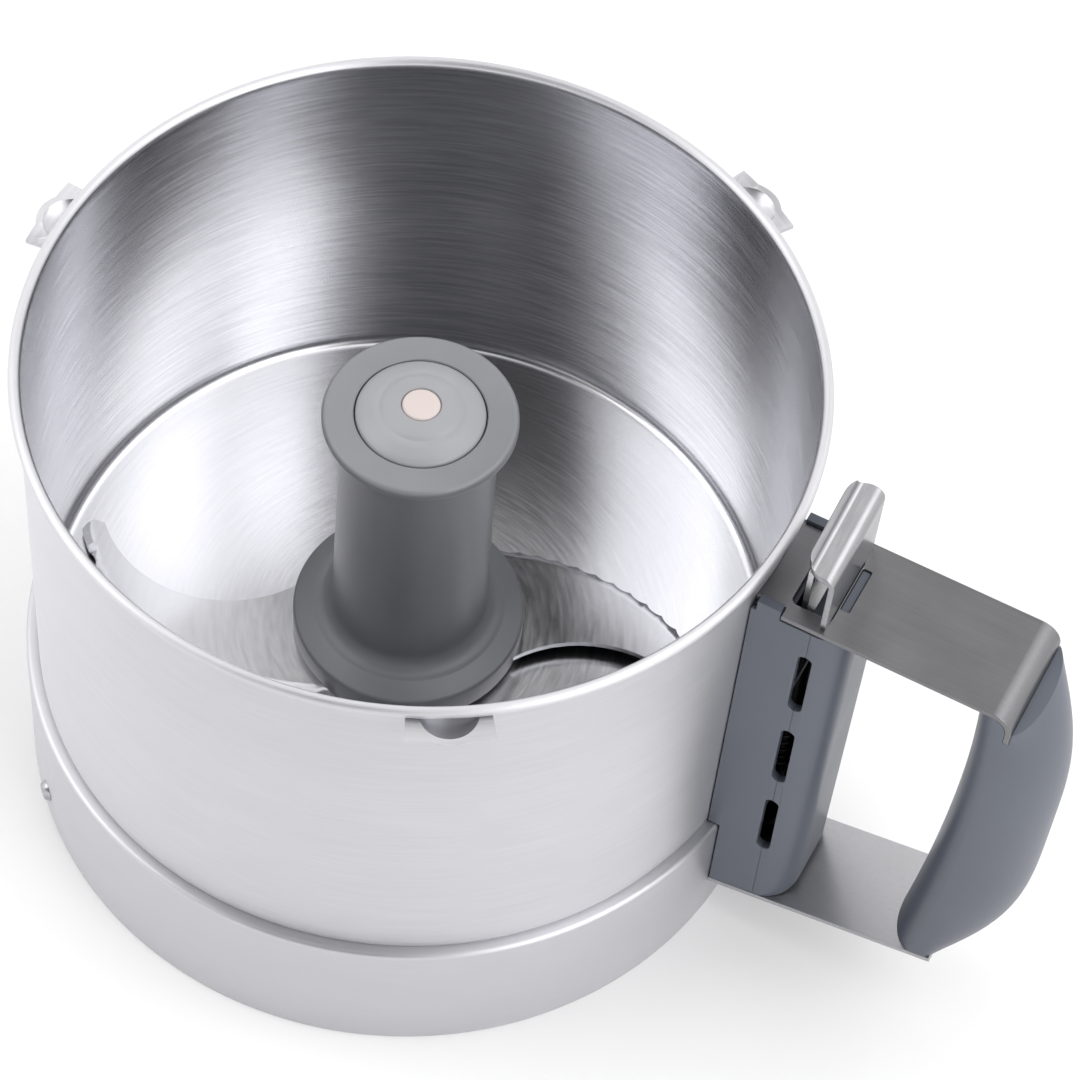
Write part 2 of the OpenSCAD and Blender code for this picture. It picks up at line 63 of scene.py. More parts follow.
RIM_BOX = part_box("bowl_shell")
SKIRT_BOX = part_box("base_skirt")
HUB_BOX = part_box("blade_hub")

MM = 0.001
WELD = 2e-6  # points nearer than this are one point
LATHE_PITCH = 0.05  # radius of the circle that a section is carried round
SECTION_ERROR = 2e-5  # how far a turned piece may miss its section
PLUG_STEPS = 96

# How far each kind of cut edge is rounded.
LUG_EDGE, ROD_EDGE, BLADE_EDGE = 0.00015, 0.00015, 0.0001
SCREW_EDGE, COLUMN_EDGE, GRIP_EDGE = 0.00008, 0.00018, 0.0004

# Outline of the grip, in millimetres: crest of the palm side, waist of the finger side.
GRIP_LOW, GRIP_HIGH = 22.0, 140.1
GRIP_CREST_X, GRIP_CREST_Z = 174.1, 88
GRIP_WAIST_X, GRIP_WAIST_Z = 150.4, 105
GRIP_HALF_WIDTH, GRIP_INNER_R = 14.7, 8.0

# Name, place, size and share of the key's power of each lamp.
LAMPS = (
    ("Key", (-1.05, -0.44, 1.4), 1.05, 1.0),
    ("Fill", (1.1, -0.5, 1.0), 0.7, 0.45),
)
LAMP_AIM = (0, 0, 0.08)

# Azimuth, elevation, inner angle, outer angle and gain of each dark flag and bright panel.
FLAGS = (
    (-72.0, 52.0, 21.0, 29.0, -0.985),
    (-113.0, 52.0, 17.0, 30.0, -0.72),
    (-136.0, 52.0, 16.0, 32.0, -0.56),
    (105.0, 57.0, 6.5, 11.0, -0.985),
    (134.0, 58.0, 8.0, 20.0, 0.30),
    (-4.0, 50.0, 10.0, 36.0, 0.70),
    (36.0, 50.0, 12.0, 24.0, 0.50),
)

CAMERA_PLACE = (0.2275, -0.47166, 0.83797)
CAMERA_RIGHT = (0.88441536, 0.46224986, 0.06430029)
CAMERA_UP = (-0.4135137, 0.71227572, 0.56715934)
CAMERA_AHEAD = (-0.21636979, 0.52819348, -0.82109424)


def length(name, default, description):
    """A length property in metres."""
    return FloatProperty(
        name=name, description=description, default=default, min=0.0, precision=5, unit="LENGTH"
    )


def colour(name, default, description):
    """A colour property."""
    return FloatVectorProperty(
        name=name,
        description=description,
        default=default,
        size=3,
        min=0.0,
        max=1.0,
        subtype="COLOR",
    )


class BowlSettings(bpy.types.PropertyGroup):
    """Sizes and colours of the steel bowl."""

    wall_r: length("Wall radius", 0.095, "Outer radius of the wall")
    rim_r: length("Rim radius", RIM_BOX[1].x, "Outer radius of the rolled rim")
    rim_z: length("Rim height", RIM_BOX[1].z, "Height of the rim")
    sheet: length("Sheet", 0.001, "Thickness of the sheet")
    floor_z: length("Floor height", 0.0405, "Height of the floor's upper face")
    corner_r: length("Corner radius", 0.0028, "Inside radius between floor and wall")
    skirt_r: length("Skirt radius", 0.0982, "Outer radius of the skirt")
    ledge_z: length("Ledge height", SKIRT_BOX[1].z, "Height of the ledge on the skirt")
    steps: IntProperty(
        name="Steps", description="Facets round a turned piece", default=288, min=32, max=720
    )
    steel: colour("Steel", (0.60, 0.60, 0.625), "Colour of the bowl's steel")


class HandleSettings(bpy.types.PropertyGroup):
    """Sizes and colours of the straps, column and grip."""

    edge: length("Edge rounding", 0.00022, "Rounding of the cut edges of the straps")
    shelf_z: length("Shelf height", 0.136, "Height of the flat behind the strap's lip")
    lip_x: length("Lip distance", 0.1604, "Distance from the axis to the lip's outer face")
    plastic: colour("Plastic", (0.082, 0.093, 0.118), "Colour of the moulded grip and column")
    # The straps' steel is far darker than the bowl's steel: painted dark reflection of the
    # surroundings, not the steel's own colour.
    strap: colour("Strap steel", (0.20, 0.20, 0.208), "Colour of the straps' steel")


class HubSettings(bpy.types.PropertyGroup):
    """Sizes and colours of the hub and blades."""

    foot_r: length("Foot radius", HUB_BOX[1].x, "Radius of the disc at the hub's foot")
    neck_r: length("Neck radius", 0.0199, "Radius of the neck above the foot")
    flange_r: length("Flange radius", 0.0238, "Radius of the flange at the top")
    top_z: length("Top height", HUB_BOX[1].z, "Height of the flange's upper face")
    cap_r: length("Cap radius", 0.0159, "Radius of the domed cap")
    plug_r: length("Plug radius", 0.0047, "Radius of the plug in the cap")
    plastic: colour("Hub plastic", (0.185, 0.190, 0.205), "Colour of the moulded hub")
    cap: colour("Cap plastic", (0.270, 0.275, 0.290), "Colour of the cap")
    plug: colour("Plug", (0.52, 0.455, 0.44), "Colour of the plug")
    blade: colour("Blade steel", (0.48, 0.48, 0.50), "Colour of the blades")


class StageSettings(bpy.types.PropertyGroup):
    """The floor, the lights and the camera."""

    floor: colour("Floor", (0.70, 0.70, 0.705), "Colour of the floor")
    key: FloatProperty(
        name="Key", description="Power of the main light", default=9.0, min=0.0, unit="POWER"
    )
    sky: FloatProperty(
        name="Sky", description="Strength of the surrounding light", default=1.4, min=0.0
    )
    lens: FloatProperty(
        name="Lens", description="Focal length in millimetres", default=122.23, min=1.0
    )


# --- Shader maths ---------------------------------------------------------------------------


class Wire:
    """A shader socket that takes part in arithmetic."""

    def __init__(self, finish, socket):
        self.finish = finish
        self.socket = socket

    def math(self, operation, *others):
        """A maths node with this value first."""
        values = dict(enumerate((self,) + others))
        return self.finish.node("ShaderNodeMath", {"operation": operation}, values)

    def __add__(self, other):
        return self.math("ADD", other)

    def __sub__(self, other):
        return self.math("SUBTRACT", other)

    def __rsub__(self, other):
        return self.finish.node("ShaderNodeMath", {"operation": "SUBTRACT"}, {0: other, 1: self})

    def __mul__(self, other):
        return self.math("MULTIPLY", other)

    def __truediv__(self, other):
        return self.math("DIVIDE", other)

    __radd__ = __add__
    __rmul__ = __mul__


class Nodes:
    """A shader node tree that grows by one method."""

    def __init__(self, tree):
        self.tree = tree

    def node(self, kind, settings=None, inputs=None, output=0):
        """Adds a node, sets it, fills its sockets and returns one of its outputs."""
        made = self.tree.nodes.new(kind)
        for key, value in (settings or {}).items():
            setattr(made, key, value)
        for key, value in (inputs or {}).items():
            if isinstance(value, Wire):
                self.tree.links.new(value.socket, made.inputs[key])
            else:
                made.inputs[key].default_value = value
        return Wire(self, made.outputs[output])


class Finish(Nodes):
    """A node material with one Principled shader."""

    def __init__(self, name, **constants):
        self.material = bpy.data.materials.new(name)
        self.material.use_nodes = True
        super().__init__(self.material.node_tree)
        self.shader = self.tree.nodes["Principled BSDF"]
        for socket, value in constants.items():
            self.shader.inputs[socket.replace("_", " ")].default_value = value

    def feed(self, socket, wire):
        """Links a value to a socket of the shader."""
        self.tree.links.new(wire.socket, self.shader.inputs[socket])

    def place(self):
        """Object coordinates."""
        return self.node("ShaderNodeTexCoord", output="Object")

    def parts(self, vector):
        """The three parts of a vector."""
        split = self.node("ShaderNodeSeparateXYZ", inputs={0: vector})
        return split, *(Wire(self, split.socket.node.outputs[i]) for i in (1, 2))

    def join(self, x, y, z):
        """A vector from its three parts."""
        return self.node("ShaderNodeCombineXYZ", inputs={0: x, 1: y, 2: z})

    def noise(self, vector, scale, detail=3.0, roughness=0.5):
        """Smooth noise between 0 and 1."""
        return self.node(
            "ShaderNodeTexNoise",
            inputs={"Vector": vector, "Scale": scale, "Detail": detail, "Roughness": roughness},
        )

    def span(self, value, low, high, to_low=0.0, to_high=1.0):
        """Maps a value from one span to another, held inside it."""
        return self.node(
            "ShaderNodeMapRange",
            {"clamp": True},
            {0: value, 1: low, 2: high, 3: to_low, 4: to_high},
        )

    def blend(self, factor, first, second):
        """Mixes two colours."""
        first = first if isinstance(first, Wire) else (*first, 1.0)
        second = second if isinstance(second, Wire) else (*second, 1.0)
        return self.node(
            "ShaderNodeMix", {"data_type": "RGBA"}, {0: factor, 6: first, 7: second}, output=2
        )

    def bump(self, height, distance):
        """Feeds a height to the normal."""
        inputs = {"Strength": 1.0, "Distance": distance, "Height": height}
        self.feed("Normal", self.node("ShaderNodeBump", inputs=inputs))


def shade(colour_value, factor):
    """A colour made lighter or darker."""
    return tuple(min(1.0, c * factor) for c in colour_value)


def two_tones(finish, factor, tint, spread):
    """Feeds the base colour with a tint that a factor takes darker or lighter by the spread."""
    colours = shade(tint, 1.0 - spread), shade(tint, 1.0 + spread)
    finish.feed("Base Color", finish.blend(factor, *colours))


def turned_steel(
    name, tint, rough, line=1500.0, bias=0.6, contrast=0.05, satin=0.0, satin_r=1.0, calm_z=-1.0
):
    """Steel with fine brush lines that run round the axis.

    Outside satin_r it is rougher by satin; there and below calm_z the lines are fainter.
    """
    line_drift, band_drift, band_pitch = 5.0, 0.8, 60.0
    relief, smudge_scale, calm_share = 2.5e-7, 28.0, 0.75
    steel = Finish(name, Metallic=1.0, Anisotropic=bias, Anisotropic_Rotation=0.25)
    x, y, z = steel.parts(steel.place())
    radius = (x * x + y * y).math("SQRT")
    along = radius.math("MAXIMUM", 1e-4)
    across = z + radius
    around = steel.join(x / along * line_drift, y / along * line_drift, across * line)
    lines = steel.noise(around, 1.0, 1.0)
    around = steel.join(x / along * band_drift, y / along * band_drift, across * band_pitch)
    bands = steel.noise(around, 1.0, 2.0)
    smudge = steel.noise(steel.place(), smudge_scale, 4.0, 0.6)
    outside = steel.span(radius, satin_r - 0.0004, satin_r + 0.0002)
    grain = steel.span(lines, 0.3, 0.7, rough - 0.02, rough + 0.02) + smudge * 0.03
    steel.feed("Roughness", grain + outside * satin)
    tone = steel.span(lines * 0.7 + bands * 0.3, 0.35, 0.65)
    calm = outside.math("MAXIMUM", steel.span(z, calm_z, calm_z + 0.003, 1.0, 0.0)) * calm_share
    two_tones(steel, tone * (1 - calm) + calm * 0.5, tint, contrast)
    steel.bump(lines, relief)
    return steel.material


def rolled_steel(name, tint, rough, axis=0, line=2200.0, stain_and_shade_edge=0.06):
    """Sheet steel with lines that run along one axis and a mottle."""
    line_stretch, mottle_scale, relief = 30.0, 90.0, 1.5e-7
    steel = Finish(name, Metallic=1.0)
    parts = list(steel.parts(steel.place()))
    scaled = [part * (line_stretch if i == axis else line) for i, part in enumerate(parts)]
    lines = steel.noise(steel.join(*scaled), 1.0, 3.0, 0.6)
    mottle = steel.noise(steel.place(), mottle_scale, 4.0, 0.6)
    grain = steel.span(mottle, 0.3, 0.7, rough - 0.01, rough + 0.02) + lines * 0.04
    steel.feed("Roughness", grain)
    two_tones(steel, steel.span(mottle * 0.4 + lines * 0.6, 0.35, 0.65), tint, stain_and_shade_edge)
    steel.bump(lines, relief)
    return steel.material


def rod_steel(name, tint, rough):
    """Rod steel, bright at the tongue and near-black below it: painted shade for the part inside
    the column.
    """
    # Near-black painted shade, rougher than the steel, for the rod below the tongue.
    painted_shade, painted_shade_rough = (0.022, 0.022, 0.024), rough + 0.22
    shade_fade_low, shade_fade_high = 0.124, 0.130
    steel = Finish(name, Metallic=1.0)
    height = steel.parts(steel.place())[2]
    # Noise that makes the edge of the painted shade ragged.
    stain_and_shade_edge = steel.noise(steel.place(), 160.0, 3.0) * 0.004
    unshaded = steel.span(height + stain_and_shade_edge, shade_fade_low, shade_fade_high)
    steel.feed("Base Color", steel.blend(unshaded, painted_shade, tint))
    steel.feed("Roughness", steel.span(unshaded, 0.0, 1.0, painted_shade_rough, rough))
    return steel.material


def moulded(name, tint, rough):
    """Moulded plastic with a fine grain and slow changes of tone."""
    grain_scale, tone_scale, relief = 2600.0, 34.0, 1.2e-5
    plastic = Finish(name)
    place = plastic.place()
    fine = plastic.noise(place, grain_scale, 2.0)
    slow = plastic.noise(place, tone_scale, 3.0, 0.55)
    two_tones(plastic, plastic.span(slow, 0.3, 0.7), tint, 0.07)
    mottle = fine * 0.4 + slow * 0.6
    plastic.feed("Roughness", plastic.span(mottle, 0.35, 0.65, rough - 0.04, rough + 0.05))
    plastic.bump(fine, relief)
    return plastic.material


# --- Shapes ---------------------------------------------------------------------------------


def arc(centre, radius, start, finish, steps):
    """Points along an arc, angles in degrees from +X."""
    return [
        (
            centre[0] + radius * math.cos(math.radians(start + (finish - start) * i / steps)),
            centre[1] + radius * math.sin(math.radians(start + (finish - start) * i / steps)),
        )
        for i in range(steps + 1)
    ]


def socket_of(tree, name):
    """The identifier of a tree's named input."""
    return next(item.identifier for item in tree.interface.items_tree if item.name == name)


def new_tree(name, inputs):
    """A Geometry Nodes tree with named inputs and one output."""
    tree = bpy.data.node_groups.new(name, "GeometryNodeTree")
    tree.interface.new_socket("Geometry", in_out="OUTPUT", socket_type="NodeSocketGeometry")
    tree.interface.new_socket("Geometry", in_out="INPUT", socket_type="NodeSocketGeometry")
    for label, kind, value in inputs:
        made = tree.interface.new_socket(label, in_out="INPUT", socket_type=kind)
        if value is not None:
            made.default_value = value
    return tree


def add(tree, kind, inputs=None, **settings):
    """Adds a node to a tree; an input may be a value or another node's socket."""
    made = tree.nodes.new(kind)
    for key, value in settings.items():
        setattr(made, key, value)
    for key, value in (inputs or {}).items():
        if isinstance(value, bpy.types.NodeSocket):
            tree.links.new(value, made.inputs[key])
        else:
            made.inputs[key].default_value = value
    return made


def close_tree(tree, geometry, material):
    """Ends a tree in Realize Instances and Set Material."""
    whole = add(tree, "GeometryNodeRealizeInstances", {0: geometry})
    dressed = add(tree, "GeometryNodeSetMaterial", {0: whole.outputs[0], "Material": material})
    add(tree, "NodeGroupOutput", {0: dressed.outputs[0]})


def lathe_tree():
    """Turns the host's profile, given as offsets from a pitch circle, about the Z axis."""
    tree = new_tree(
        "Lathe",
        [
            ("Pitch radius", "NodeSocketFloat", LATHE_PITCH),
            ("Steps", "NodeSocketInt", 288),
            ("Material", "NodeSocketMaterial", None),
        ],
    )
    given = add(tree, "NodeGroupInput")
    profile = add(tree, "GeometryNodeMeshToCurve", {0: given.outputs["Geometry"]})
    ring = add(
        tree,
        "GeometryNodeCurvePrimitiveCircle",
        {"Resolution": given.outputs["Steps"], "Radius": given.outputs["Pitch radius"]},
    )
    curves = {"Curve": ring.outputs[0], "Profile Curve": profile.outputs[0]}
    turned = add(tree, "GeometryNodeCurveToMesh", curves)
    joined = add(tree, "GeometryNodeMergeByDistance", {0: turned.outputs[0], "Distance": WELD})
    smooth = add(tree, "GeometryNodeSetShadeSmooth", {0: joined.outputs[0]})
    close_tree(tree, smooth.outputs[0], given.outputs["Material"])
    return tree


def ring_copies_tree():
    """Repeats the host's shape at equal angles about the Z axis."""
    tree = new_tree(
        "Ring Copies",
        [("Count", "NodeSocketInt", 3), ("Material", "NodeSocketMaterial", None)],
    )
    given = add(tree, "NodeGroupInput")
    points = add(tree, "GeometryNodePoints", {"Count": given.outputs["Count"]})
    index = add(tree, "GeometryNodeInputIndex")
    share = {0: 2 * math.pi, 1: given.outputs["Count"]}
    step = add(tree, "ShaderNodeMath", share, operation="DIVIDE")
    product = {0: index.outputs[0], 1: step.outputs[0]}
    angle = add(tree, "ShaderNodeMath", product, operation="MULTIPLY")
    turn = add(tree, "ShaderNodeCombineXYZ", {2: angle.outputs[0]})
    spin = add(tree, "FunctionNodeEulerToRotation", {0: turn.outputs[0]})
    copies = add(
        tree,
        "GeometryNodeInstanceOnPoints",
        {
            "Points": points.outputs[0],
            "Instance": given.outputs["Geometry"],
            "Rotation": spin.outputs[0],
        },
    )
    close_tree(tree, copies.outputs[0], given.outputs["Material"])
    return tree


def tree_named(name, maker):
    """The tree of that name, made once."""
    return bpy.data.node_groups.get(name) or maker()


def link(name, mesh):
    """Puts a mesh in the scene as an object at the origin."""
    piece = bpy.data.objects.new(name, mesh)
    bpy.context.scene.collection.objects.link(piece)
    return piece


def plain(piece, name):
    """Puts a plain mesh object of that name in a piece's place, its modifiers applied."""
    bpy.context.view_layer.update()
    evaluated = piece.evaluated_get(bpy.context.evaluated_depsgraph_get())
    mesh = bpy.data.meshes.new_from_object(evaluated)
    bpy.data.objects.remove(piece)
    mesh.name = name
    return link(name, mesh)


def settle(host, tree, values, name):
    """Runs a tree on the host and returns the result as a plain mesh object."""
    modifier = host.modifiers.new(tree.name, "NODES")
    modifier.node_group = tree
    for label, value in values.items():
        modifier[socket_of(tree, label)] = value
    return plain(host, name)


def volume(mesh):
    """Signed volume of a closed mesh."""
    made = bmesh.new()
    made.from_mesh(mesh)
    size = made.calc_volume(signed=True)
    made.free()
    return size


def turned(name, outline, closed, material, steps):
    """A turned piece from its half section in metres: (radius, height) points."""
    sharp = 40.0
    mesh = bpy.data.meshes.new(name + " profile")
    count = len(outline)
    edges = [(i, (i + 1) % count) for i in range(count if closed else count - 1)]
    mesh.from_pydata([(r - LATHE_PITCH, -z, 0.0) for r, z in outline], edges, [])
    host = link(name + " profile", mesh)
    values = {"Pitch radius": LATHE_PITCH, "Steps": steps, "Material": material}
    piece = settle(host, tree_named("Lathe", lathe_tree), values, name)
    check_turn(piece, outline)
    if volume(piece.data) < 0:
        piece.data.flip_normals()
    piece.data.set_sharp_from_angle(angle=math.radians(sharp))
    return piece


def check_turn(piece, outline):
    """Stops the script if a turned piece misses the radius or the height of its section."""
    verts = piece.data.vertices
    found = max(math.hypot(v.co.x, v.co.y) for v in verts), max(v.co.z for v in verts)
    wanted = max(r for r, _ in outline), max(z for _, z in outline)
    if any(abs(a - b) > SECTION_ERROR for a, b in zip(found, wanted)):
        raise RuntimeError(f"{piece.name} came out {found}; wanted {wanted}")


def round_edges(made, angle, width, clamp=True):
    """Rounds the edges of a bmesh where its faces turn by more than an angle in degrees."""
    edges = [e for e in made.edges if e.is_manifold and e.calc_face_angle(0) > math.radians(angle)]
    bmesh.ops.bevel(
        made,
        geom=edges,
        offset=width,
        segments=2,
        profile=0.5,
        affect="EDGES",
        clamp_overlap=clamp,
    )


def softened(node, name, material, width, clamp=True):
    """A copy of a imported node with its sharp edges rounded."""
    sharp, flat = 32.0, 0.4
    mesh = bpy.data.meshes.new(name)
    made = bmesh.new()
    made.from_mesh(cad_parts[node].data)
    bmesh.ops.remove_doubles(made, verts=made.verts, dist=WELD / 2)
    bmesh.ops.dissolve_limit(
        made, angle_limit=math.radians(flat), verts=made.verts, edges=made.edges, delimit=set()
    )
    if width > 0:
        round_edges(made, sharp, width, clamp)
    made.to_mesh(mesh)
    made.free()
    mesh.materials.clear()
    mesh.materials.append(material)
    return weigh_normals(link(name, mesh))


def weigh_normals(piece):
    """Smooths a piece so that its flats stay flat and its rounded edges roll."""
    sharp = 50.0
    piece.data.shade_smooth()
    piece.data.set_sharp_from_angle(angle=math.radians(sharp))
    modifier = piece.modifiers.new("Weigh", "WEIGHTED_NORMAL")
    modifier.mode = "FACE_AREA"
    modifier.weight = 100
    modifier.keep_sharp = True
    return plain(piece, piece.name)


def mount(piece, body, slot, *nodes):
    """Rides a piece on its body and hides the nodes it stands for; the slot is not used."""
    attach(piece, body)
    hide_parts(*nodes)
    return piece


def dress(node, material):
    """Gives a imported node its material."""
    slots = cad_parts[node].data.materials
    slots.clear()
    slots.append(material)


def material_named(name, maker, *values, **options):
    """The material of that name, made once."""
    return bpy.data.materials.get(name) or maker(name, *values, **options)


def spring_wire():
    """Steel of the spring and its clip, near-black as painted shade inside the column."""
    return material_named("Spring wire", rolled_steel, (0.06, 0.06, 0.065), 0.34, axis=2)


def handle_plastic(handle):
    """The plastic of the grip and the column."""
    return material_named("Handle plastic", moulded, handle.plastic, 0.36)


# --- Sections -------------------------------------------------------------------------------


def bowl_section(bowl):
    """Closed half section of the bowl's wall, floor and rolled rim."""
    out_r, in_r = bowl.wall_r, bowl.wall_r - bowl.sheet
    hole_r, mid_r, mid_z = 0.012, 0.05, 0.09
    bead = 1.4 * MM
    top = bowl.rim_z
    corner = (in_r - bowl.corner_r, bowl.floor_z + bowl.corner_r)
    rim = arc((bowl.rim_r - bead, top - bead), bead, 118, -78, 20)
    inner_roll = [(in_r + r * MM, top - z * MM) for r, z in ((0.0, 3.4), (0.03, 2.2), (0.22, 1.1))]
    outer_roll = [(out_r + 0.35 * MM, top - 2.95 * MM), (out_r, top - 3.5 * MM)]
    return (
        [(hole_r, bowl.floor_z), (mid_r, bowl.floor_z)]
        + arc(corner, bowl.corner_r, -90, 0, 12)
        + [(in_r, mid_z)]
        + inner_roll
        + rim
        + outer_roll
        + [(out_r, mid_z)]
        + arc(corner, bowl.corner_r + bowl.sheet, 0, -90, 12)
        + [(mid_r, bowl.floor_z - bowl.sheet), (hole_r, bowl.floor_z - bowl.sheet)]
    )


def skirt_section(bowl):
    """Closed half section of the skirt, with its folded ledge and turned-in foot."""
    out_r, turn = bowl.skirt_r, 1.2 * MM
    in_r, lap_r = out_r - turn, bowl.wall_r - 0.6 * MM
    top, under, mid_z = bowl.ledge_z, bowl.ledge_z - 1.0 * MM, 0.02
    foot = [(out_r - 0.35 * MM, 0.0), (out_r - 0.1 * MM, 0.1 * MM), (out_r, 0.35 * MM)]
    return (
        [(in_r + 0.3 * MM, 0.0)]
        + foot
        + [(out_r, mid_z)]
        + arc((out_r - turn, top - turn), turn, 0, 90, 8)
        + [(bowl.wall_r + 0.9 * MM, top), (bowl.wall_r + 0.3 * MM, top - 0.12 * MM)]
        + [(lap_r, top - 0.3 * MM), (lap_r, under), (in_r - 0.6 * MM, under)]
        + [(in_r, top - 1.6 * MM), (in_r, 0.3 * MM)]
    )


def hub_section(hub):
    """Closed half section of the hub, hollow from below."""
    edge, fillet, foot_round = 1.4 * MM, 4.5 * MM, 1.2 * MM
    top, low = hub.top_z, hub.top_z - 3.4 * MM
    neck_top, neck_round = hub.neck_r - 0.7 * MM, 2.0 * MM
    foot_low, foot_edge = 0.0422, 0.0505
    shoulder_r, shoulder_z, shoulder_round = 0.0243, 0.0525, 1.5 * MM
    bore_r, core_r, core_z, mid_z = 0.0151, 0.0132, 0.0995, 0.09
    return (
        [(bore_r, foot_low), (hub.foot_r - MM, foot_low)]
        + arc((hub.foot_r - MM, foot_low + MM), MM, -90, 0, 5)[1:]
        + arc((hub.foot_r - foot_round, foot_edge - MM), foot_round, 0, 66, 6)
        + arc((shoulder_r, shoulder_z - shoulder_round), shoulder_round, 66, 90, 4)
        + arc((hub.neck_r + fillet, shoulder_z + fillet), fillet, -90, -180, 12)
        + [(hub.neck_r - 0.4 * MM, mid_z), (neck_top, low - neck_round)]
        + arc((neck_top + neck_round, low - neck_round), neck_round, 180, 90, 7)[1:]
        + arc((hub.flange_r - edge, low + edge), edge, -90, 0, 7)
        + arc((hub.flange_r - edge, top - edge), edge, 0, 90, 7)
        + [(hub.cap_r + 0.45 * MM, top), (hub.cap_r + 0.2 * MM, top - 0.25 * MM)]
        + [(hub.cap_r + 0.15 * MM, top - 2.0 * MM), (core_r, top - 4.2 * MM), (core_r, core_z)]
        + [(bore_r, core_z), (bore_r, foot_low + 0.1 * MM)]
    )


def cap_section(hub):
    """Closed half section of the shallow domed cap, open where the plug sits."""
    crown, low = hub.top_z + 4.0 * MM, hub.top_z - 2.0 * MM
    dome = 34.0 * MM
    edge, seat = hub.cap_r - 0.15 * MM, hub.plug_r + 0.1 * MM

    def on_dome(r, drop=0.0):
        """A point at a radius, below the dome by a drop in millimetres."""
        return (r, crown - dome + math.sqrt(dome * dome - r * r) - drop * MM)

    return (
        [(seat, low), (edge, low), on_dome(edge, 0.45)]
        + [(edge - 0.12 * MM, on_dome(edge, 0.12)[1])]
        + [on_dome(r) for r in (edge - 0.5 * MM, 14 * MM, 12 * MM, 10.4 * MM)]
        + [on_dome(10.2 * MM, 0.10), on_dome(9.9 * MM, 0.10)]
        + [on_dome(r * MM) for r in (9.7, 8.5, 7.2, 6.2, 5.5)]
        + [(hub.plug_r + 0.35 * MM, on_dome(hub.plug_r, 0.03)[1])]
        + [(seat, on_dome(hub.plug_r, 0.3)[1])]
    )


def plug_section(hub):
    """Half section of the small plug in the cap, from the axis back to the axis."""
    crown, low = hub.top_z + 3.9 * MM, hub.top_z - 2.0 * MM
    edge_z, edge_round = crown - 0.9 * MM, 0.8 * MM
    r = hub.plug_r
    return (
        [(0.0, low), (r, low), (r, edge_z)]
        + arc((r - edge_round, edge_z), edge_round, 10, 80, 6)
        + [(r * 0.55, crown - 0.02 * MM), (0.0, crown)]
    )


def grip_out(z):
    """Distance from the axis to the grip's palm side, in millimetres."""
    if z > GRIP_CREST_Z:
        return GRIP_CREST_X - 9.8 * ((z - GRIP_CREST_Z) / 48) ** 3.4
    return GRIP_CREST_X - 13.1 * ((GRIP_CREST_Z - z) / 60) ** 4.3


def grip_in(z):
    """Distance from the axis to the grip's finger side, in millimetres."""
    if z > GRIP_WAIST_Z:
        return GRIP_WAIST_X - 1.6 * ((z - GRIP_WAIST_Z) / 34.6) ** 2
    return GRIP_WAIST_X - 4.6 * ((GRIP_WAIST_Z - z) / 75) ** 1.8


def grip_ring(z, count):
    """One level ring of the grip, in millimetres."""
    flank = min(156 + 3.2 * (max(0.0, z - 70) / 66) ** 2, grip_out(z) - 3)
    points = []
    for i in range(2 * count):
        turn = math.radians(180 * (i + 0.5) / count - 90)
        if turn < math.pi / 2:
            x = flank + (grip_out(z) - flank) * math.cos(turn)
        else:
            x = grip_in(z) + GRIP_INNER_R + GRIP_INNER_R * math.cos(turn)
        points.append((x, GRIP_HALF_WIDTH * math.sin(turn), z))
    return points


def loft(name, rings):
    """A closed object from rings of points in metres, with a flat cap at each end."""
    made = bmesh.new()
    rings = [[made.verts.new(point) for point in ring] for ring in rings]
    count = len(rings[0])
    for below, above in zip(rings, rings[1:]):
        for i in range(count):
            j = (i + 1) % count
            made.faces.new((below[i], below[j], above[j], above[i]))
    made.faces.new(list(reversed(rings[0])))
    made.faces.new(rings[-1])
    bmesh.ops.recalc_face_normals(made, faces=made.faces)
    mesh = bpy.data.meshes.new(name)
    made.to_mesh(mesh)
    made.free()
    return link(name, mesh)


def block(low, high):
    """A box object between two corners, in metres, for cutting."""
    made = bmesh.new()
    bmesh.ops.create_cube(made, size=1.0)
    low, high = Vector(low), Vector(high)
    for vert in made.verts:
        vert.co = (low + high) / 2 + Vector(a * b for a, b in zip(vert.co, high - low))
    mesh = bpy.data.meshes.new("Cutter")
    made.to_mesh(mesh)
    made.free()
    return link("Cutter", mesh)


def strap_bend(lip):
    """The space above the strap's bend, as a cutter with the bend's inner curve."""
    top, outer, inner = 0.1416, 5.6 * MM, 4.1 * MM
    past_lip, back, reach, half = lip + 0.0001, 0.02, 0.2, 0.1
    corner = (lip - outer, top - outer)
    outline = arc(corner, inner, 0, 90, 16)
    outline += [(corner[0] - back, corner[1] + inner), (corner[0] - back, reach)]
    outline += [(past_lip, reach), (past_lip, corner[1])]
    return loft("Bend cutter", [[(x, side, z) for x, z in outline] for side in (-half, half)])


def foot_cut():
    """The space below the grip's sloping foot, as a cutter."""
    slope, height, reach = math.radians(11), 0.0164, 0.1
    foot = block((-0.2, -0.1, -0.2), (0.2, 0.1, 0.0))
    foot.data.transform(Matrix.Translation((reach, 0, height)) @ Matrix.Rotation(-slope, 4, "Y"))
    return foot


def cut_away(piece, cutters):
    """Takes the cutters away from a piece and keeps the result as its mesh."""
    for cutter in cutters:
        modifier = piece.modifiers.new("Cut", "BOOLEAN")
        modifier.operation = "DIFFERENCE"
        modifier.solver = "EXACT"
        modifier.object = cutter
    result = plain(piece, piece.name)
    for cutter in cutters:
        bpy.data.objects.remove(cutter)
    return result


# --- Stage ----------------------------------------------------------------------------------


def toward(azimuth, elevation):
    """A unit vector from its azimuth and elevation in degrees."""
    a, e = math.radians(azimuth), math.radians(elevation)
    return (math.cos(a) * math.cos(e), math.sin(a) * math.cos(e), math.sin(e))


